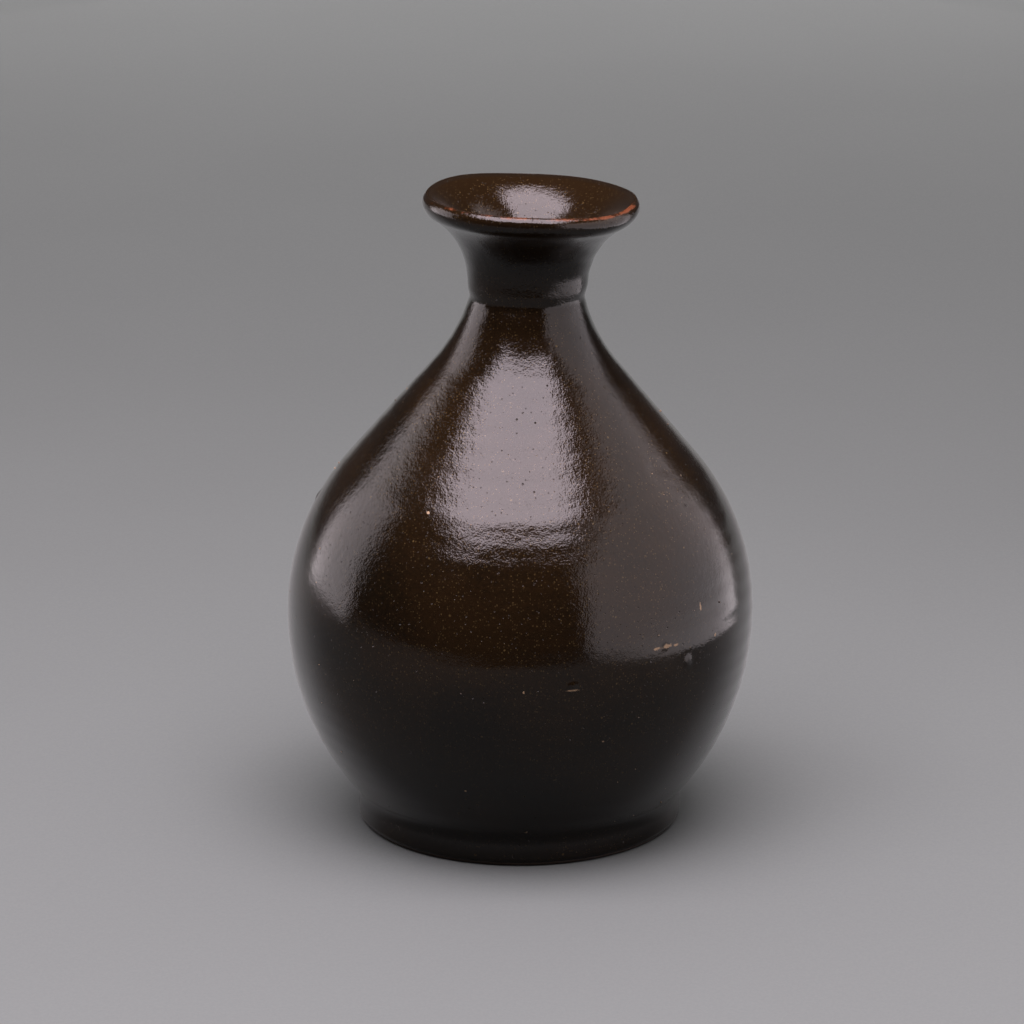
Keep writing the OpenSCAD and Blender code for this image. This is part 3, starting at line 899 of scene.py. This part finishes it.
def grit_tree():
    """Scatters small irregular grains, half sunk, over the outside of the glaze."""
    tree, n, inputs = new_geometry_tree("Kiln grit", (
        ("Density", "NodeSocketFloat"), ("Grain", "NodeSocketFloat"), ("Seed", "NodeSocketInt"),
        ("Low", "NodeSocketFloat"), ("High", "NodeSocketFloat"), ("Finish", "NodeSocketMaterial")))
    spot = n.add("GeometryNodeInputPosition").outputs[0]
    up = n.split(spot)[2]
    normal = n.add("GeometryNodeInputNormal").outputs[0]
    flat = n.split(normal)
    radial = n.measure("DOT_PRODUCT", n.join(flat[0], flat[1]), spot)
    facing = n.math("GREATER_THAN", radial, 0.0)
    band = n.math("MULTIPLY", n.math("GREATER_THAN", up, inputs["Low"]),
                  n.math("LESS_THAN", up, inputs["High"]))
    clump = n.ramp(n.noise(spot, 40 * MM, 3.7, detail=2.0), 0.42, 0.62, 0.12, 1.0)
    density = n.product(facing, band, clump, inputs["Density"])
    scatter = n.add("GeometryNodeDistributePointsOnFaces",
                    {"Mesh": inputs["Geometry"], "Density": density, "Seed": inputs["Seed"]},
                    distribute_method="RANDOM")
    ball = n.add("GeometryNodeMeshIcoSphere", {"Radius": 1.0, "Subdivisions": 2}).outputs["Mesh"]
    crumple = n.scaled(
        normal, n.math("MULTIPLY_ADD", n.noise(spot, 0.9, 5.0, detail=1.0), 0.9, -0.45))
    grain = n.add("GeometryNodeSetPosition", {"Geometry": ball, "Offset": crumple}).outputs[0]

    def random(kind, low, high, seed):
        socket = {"FLOAT": 2, "FLOAT_VECTOR": 0}[kind]
        node = n.add("FunctionNodeRandomValue", {socket: low, socket + 1: high, "Seed": seed},
                     data_type=kind)
        return next(o for o in node.outputs if o.enabled)

    size = n.math("MULTIPLY", n.math("POWER", random("FLOAT", 0.35, 1.0, 3), 2.0), inputs["Grain"])
    long = random("FLOAT_VECTOR", (0.7, 0.7, 0.6), (1.5, 1.0, 0.9), 8)
    scale = n.scaled(long, size)
    spin = random("FLOAT_VECTOR", (0.0, 0.0, 0.0), (6.283, 6.283, 6.283), 5)
    grains = n.add("GeometryNodeInstanceOnPoints", {
        "Points": scatter.outputs["Points"], "Instance": grain, "Rotation": spin, "Scale": scale})
    real = n.add("GeometryNodeRealizeInstances", {"Geometry": grains.outputs[0]}).outputs[0]
    smooth = n.add("GeometryNodeSetShadeSmooth", {"Geometry": real}).outputs[0]
    dressed = n.add("GeometryNodeSetMaterial", {"Geometry": smooth, "Material": inputs["Finish"]})
    n.add("NodeGroupOutput", {"Geometry": dressed.outputs[0]})
    return tree


# Operators

class BOTTLE_OT_clay(bpy.types.Operator):
    """Throws the four clay pieces: foot ring, bowl, shoulder and neck"""

    bl_idname = "bottle.clay"
    bl_label = "Clay body"

    def execute(self, context):
        form = Form(context.scene.bottle_sizes)
        clay = bare_clay(context.scene.glaze_look)
        spacing = 3.2 * MM
        pieces = (
            ("foot_ring_clay", "foot_ring", form.foot_ring(spacing)),
            ("bowl_clay", "lower_body", form.bowl(spacing)),
            ("shoulder_clay", "upper_body", form.shoulder(spacing)),
            ("neck_clay", "neck_and_mouth", form.neck_piece(1.6 * MM)),
        )
        for name, node, outline in pieces:
            piece = turned_piece(context, name, fillet(outline, 0.25 * MM, closed=True),
                                 CLAY_STEPS, clay)
            place(piece, node, "stoneware")
        return {"FINISHED"}


class BOTTLE_OT_outside(bpy.types.Operator):
    """Coats the outside with dark iron glaze, from the bare foot edge to the bare edge of the lip"""

    bl_idname = "bottle.outside"
    bl_label = "Outside glaze"

    def execute(self, context):
        form = Form(context.scene.bottle_sizes)
        glaze = iron_glaze("outside_iron_glaze", context.scene.glaze_look, form, 0.0, PITS, CHIPS_AND_GLINTS)
        front = thinned(form.glazed_outside(1 * MM), 1.0 * MM)
        back = form.outside(form.s.glaze, 4 * MM)[::-1]
        piece = turned_piece(context, "outside_glaze_coat", front + back, OUTSIDE_STEPS,
                             glaze, with_pits=True)
        place(piece, "outer_glaze", "outer_iron_glaze")
        return {"FINISHED"}


class BOTTLE_OT_inside(bpy.types.Operator):
    """Coats the inside with iron glaze, from the bare edge of the lip down over the floor"""

    bl_idname = "bottle.inside"
    bl_label = "Inside glaze"

    def execute(self, context):
        form = Form(context.scene.bottle_sizes)
        glaze = iron_glaze("inside_iron_glaze", context.scene.glaze_look, form, 0.32)
        front = spaced(form.inside(form.s.glaze, 2.2 * MM), 3 * MM)
        back = form.inside(0, 4 * MM)[::-1]
        piece = turned_piece(context, "inside_glaze_coat", front + back, INSIDE_STEPS, glaze)
        place(piece, "inner_glaze", "inner_iron_glaze")
        return {"FINISHED"}


class BOTTLE_OT_grit(bpy.types.Operator):
    """Scatters half-melted kiln grit over the outside glaze"""

    bl_idname = "bottle.grit"
    bl_label = "Kiln grit"

    def execute(self, context):
        coat = bpy.data.objects["outside_glaze_coat"]
        work = bpy.data.objects.new("kiln_grit_base", coat.data.copy())
        context.scene.collection.objects.link(work)
        tree = grit_tree()
        modifier = work.modifiers.new("Kiln grit", "NODES")
        modifier.node_group = tree
        set_inputs(modifier, tree, {
            "Density": 5200.0, "Grain": 0.40 * MM, "Seed": 11, "Low": 0.012, "High": 0.165,
            "Finish": grit_finish(context.scene.glaze_look)})
        piece = frozen(work, "kiln_grit_grains")
        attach(piece, BODY)
        return {"FINISHED"}


def area_light(name, centre, size, towards, radiance, tint=(1.0, 1.0, 1.0)):
    """A soft box: a rectangle of even radiance that faces a point. Cameras don't see it."""
    data = bpy.data.lights.new(name, "AREA")
    data.shape = "RECTANGLE"
    data.size, data.size_y = size
    data.energy = radiance * math.pi * size[0] * size[1]
    data.color = tint
    light = bpy.data.objects.new(name, data)
    light.location = centre
    light.rotation_euler = (Vector(towards) - Vector(centre)).to_track_quat("-Z", "Y").to_euler()
    light.visible_camera = False
    bpy.context.scene.collection.objects.link(light)
    return light


def sheet_mesh(name, corners, material):
    mesh = bpy.data.meshes.new(name)
    mesh.from_pydata(corners, [], [tuple(range(len(corners)))])
    mesh.materials.append(material)
    piece = bpy.data.objects.new(name, mesh)
    bpy.context.scene.collection.objects.link(piece)
    return piece


class BOTTLE_OT_studio(bpy.types.Operator):
    """Sets up the floor, the soft lights and the camera"""

    bl_idname = "bottle.studio"
    bl_label = "Studio"

    def execute(self, context):
        scene = context.scene
        finish = paper(scene.glaze_look)
        # The table ends in front of the bottle, which mirrors its edge. The paper round it only
        # closes the view.
        edge = -0.48
        sheet_mesh("table_paper", [(-5, edge, 0), (5, edge, 0), (5, 6, 0), (-5, 6, 0)], finish)
        surround = sheet_mesh(
            "floor_paper", [(-5, -6, 0), (5, -6, 0), (5, edge, 0), (-5, edge, 0)], finish)
        surround.visible_glossy = False
        surround.visible_diffuse = False
        # What the gloss mirrors: a box overhead, a panel on the left and a dim card on the right
        rosy = (1.05, 0.95, 0.99)
        area_light("overhead_box", (-0.11, -0.40, 1.14), (1.24, 0.98), (-0.11, -0.40, 0), 11.3,
                   (1.06, 0.93, 1.02))
        for name, centre, size, radiance in (
                ("left_panel", (-0.90, 0.34, 0.42), (0.68, 0.80), 3.1),
                ("right_card", (0.35, -0.19, 0.27), (0.80, 0.54), 2.0)):
            panel = area_light(name, centre, size, (0, centre[1], centre[2]), radiance, rosy)
            panel.visible_diffuse = False
        # Fills that the gloss doesn't mirror: one over everything and one over the far floor
        for name, centre, size, radiance in (
                ("wide_fill", (0, 0.6, 2.4), (5.0, 5.0), 1.58),
                ("far_fill", (0, 2.2, 1.0), (3.0, 1.0), 6.4)):
            fill = area_light(name, centre, size, (centre[0], centre[1], 0), radiance, rosy)
            fill.visible_glossy = False
        world = bpy.data.worlds.new("studio")
        world.use_nodes = True
        world.node_tree.nodes.clear()
        n = Nodes(world.node_tree)
        seen = n.add("ShaderNodeLightPath").outputs["Is Camera Ray"]
        tone = n.mix(seen, (0.028, 0.027, 0.028, 1.0), (0.25, 0.25, 0.255, 1.0))
        background = n.add("ShaderNodeBackground", {"Color": tone, "Strength": 1.0})
        n.add("ShaderNodeOutputWorld", {"Surface": background.outputs[0]})
        scene.world = world
        data = bpy.data.cameras.new("camera")
        data.sensor_width = 36.0
        data.lens = 171.5
        camera = bpy.data.objects.new("camera", data)
        rise, stand_off = math.radians(16.75), 1.75
        aim = Vector((-2.665 * MM, 0.0, 113.7 * MM))
        camera.location = aim + Vector((0.0, -math.cos(rise), math.sin(rise))) * stand_off
        camera.rotation_euler = (math.pi / 2 - rise, 0.0, 0.0)
        scene.collection.objects.link(camera)
        scene.camera = camera
        scene.view_settings.view_transform = "Standard"
        scene.view_settings.gamma = 0.9
        return {"FINISHED"}


class BOTTLE_PT_panel(bpy.types.Panel):
    """Lists the steps that build the bottle"""

    bl_label = "Sake bottle"
    bl_idname = "BOTTLE_PT_panel"
    bl_space_type = "VIEW_3D"
    bl_region_type = "UI"
    bl_category = "Bottle"

    def draw(self, context):
        for step in STEPS:
            self.layout.operator(step)


STEPS = ("bottle.studio", "bottle.clay", "bottle.outside", "bottle.inside", "bottle.grit")
CLASSES = (
    BottleSizes, PotterHand, GlazeLook, BOTTLE_OT_studio, BOTTLE_OT_clay, BOTTLE_OT_outside,
    BOTTLE_OT_inside, BOTTLE_OT_grit, BOTTLE_PT_panel)
GROUPS = (("bottle_sizes", BottleSizes), ("potter_hand", PotterHand), ("glaze_look", GlazeLook))


def register():
    for cls in CLASSES:
        bpy.utils.register_class(cls)
    for name, group in GROUPS:
        setattr(bpy.types.Scene, name, bpy.props.PointerProperty(type=group))


def unregister():
    for name, _ in GROUPS:
        delattr(bpy.types.Scene, name)
    for cls in reversed(CLASSES):
        bpy.utils.unregister_class(cls)


def main():
    register()
    bpy.ops.bottle.studio()
    bpy.ops.bottle.clay()
    bpy.ops.bottle.outside()
    bpy.ops.bottle.inside()
    bpy.ops.bottle.grit()


if __name__ == "__main__":
    main()
